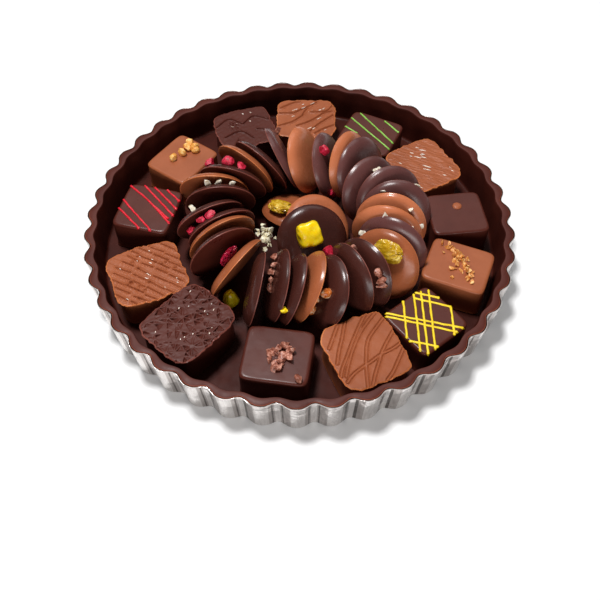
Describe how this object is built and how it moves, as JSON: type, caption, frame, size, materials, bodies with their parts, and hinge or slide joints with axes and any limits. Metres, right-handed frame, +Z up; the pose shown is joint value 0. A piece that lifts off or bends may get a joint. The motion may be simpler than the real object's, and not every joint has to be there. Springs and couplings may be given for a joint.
{
  "type": "chocolate tart",
  "caption": "Round chocolate tart in its fluted metal tin, filled with square pralines and a ring of leaning chocolate discs topped with dried fruit, nibs and nuts.",
  "frame": {"origin": "middle of the tin's underside, on the surface that it stands on", "axes": "+Z up through the middle of the tin, -Y is the front, +X to the right"},
  "size_m": [0.2021, 0.2022, 0.038],
  "materials": {
    "tin_silver": "pressed sheet, bright with soft vertical streaks",
    "shell_chocolate": "set dark chocolate, satin on the rim and matt inside",
    "dark_chocolate": "tempered dark chocolate with a soft gloss",
    "milk_chocolate": "tempered milk chocolate with a soft gloss",
    "mango": "moist candied fruit",
    "raisin": "wrinkled and slightly translucent",
    "cranberry": "wrinkled and glossy",
    "grain": "dry puffed grain"
  },
  "bodies": {
    "root": {"cranberry": "cranberry", "disc_back_1": "dark_chocolate", "disc_back_2": "milk_chocolate", "disc_back_3": "dark_chocolate", "disc_front_1": "dark_chocolate", "disc_front_2": "dark_chocolate", "disc_front_3": "dark_chocolate", "disc_front_4": "milk_chocolate", "disc_front_5": "dark_chocolate", "disc_front_6": "dark_chocolate", "disc_front_7": "dark_chocolate", "disc_front_8": "milk_chocolate", "disc_left_1": "dark_chocolate", "disc_left_10": "milk_chocolate", "disc_left_2": "milk_chocolate", "disc_left_3": "dark_chocolate", "disc_left_4": "milk_chocolate", "disc_left_5": "dark_chocolate", "disc_left_6": "dark_chocolate", "disc_left_7": "dark_chocolate", "disc_left_8": "milk_chocolate", "disc_left_9": "dark_chocolate", "disc_middle_back": "milk_chocolate", "disc_middle_low": "milk_chocolate", "disc_middle_top": "dark_chocolate", "disc_right_1": "dark_chocolate", "disc_right_2": "milk_chocolate", "disc_right_3": "milk_chocolate", "disc_right_4": "dark_chocolate", "disc_right_5": "dark_chocolate", "disc_right_6": "dark_chocolate", "disc_right_7": "dark_chocolate", "disc_right_8": "milk_chocolate", "mango_cube": "mango", "mango_piece": "mango", "praline_bark": "milk_chocolate", "praline_cocoa_nibs": "dark_chocolate", "praline_crackle": "dark_chocolate", "praline_gold_crumbs": "milk_chocolate", "praline_green_lines": "dark_chocolate", "praline_milk_dot": "dark_chocolate", "praline_nuts": "milk_chocolate", "praline_red_lines": "dark_chocolate", "praline_relief": "dark_chocolate", "praline_swirl": "milk_chocolate", "praline_waves": "milk_chocolate", "praline_wood": "milk_chocolate", "praline_yellow_grid": "dark_chocolate", "puffed_grains": "grain", "raisin_middle": "raisin", "raisin_right": "raisin", "shell": "shell_chocolate", "tin": "tin_silver"}
  },
  "joints": []
}
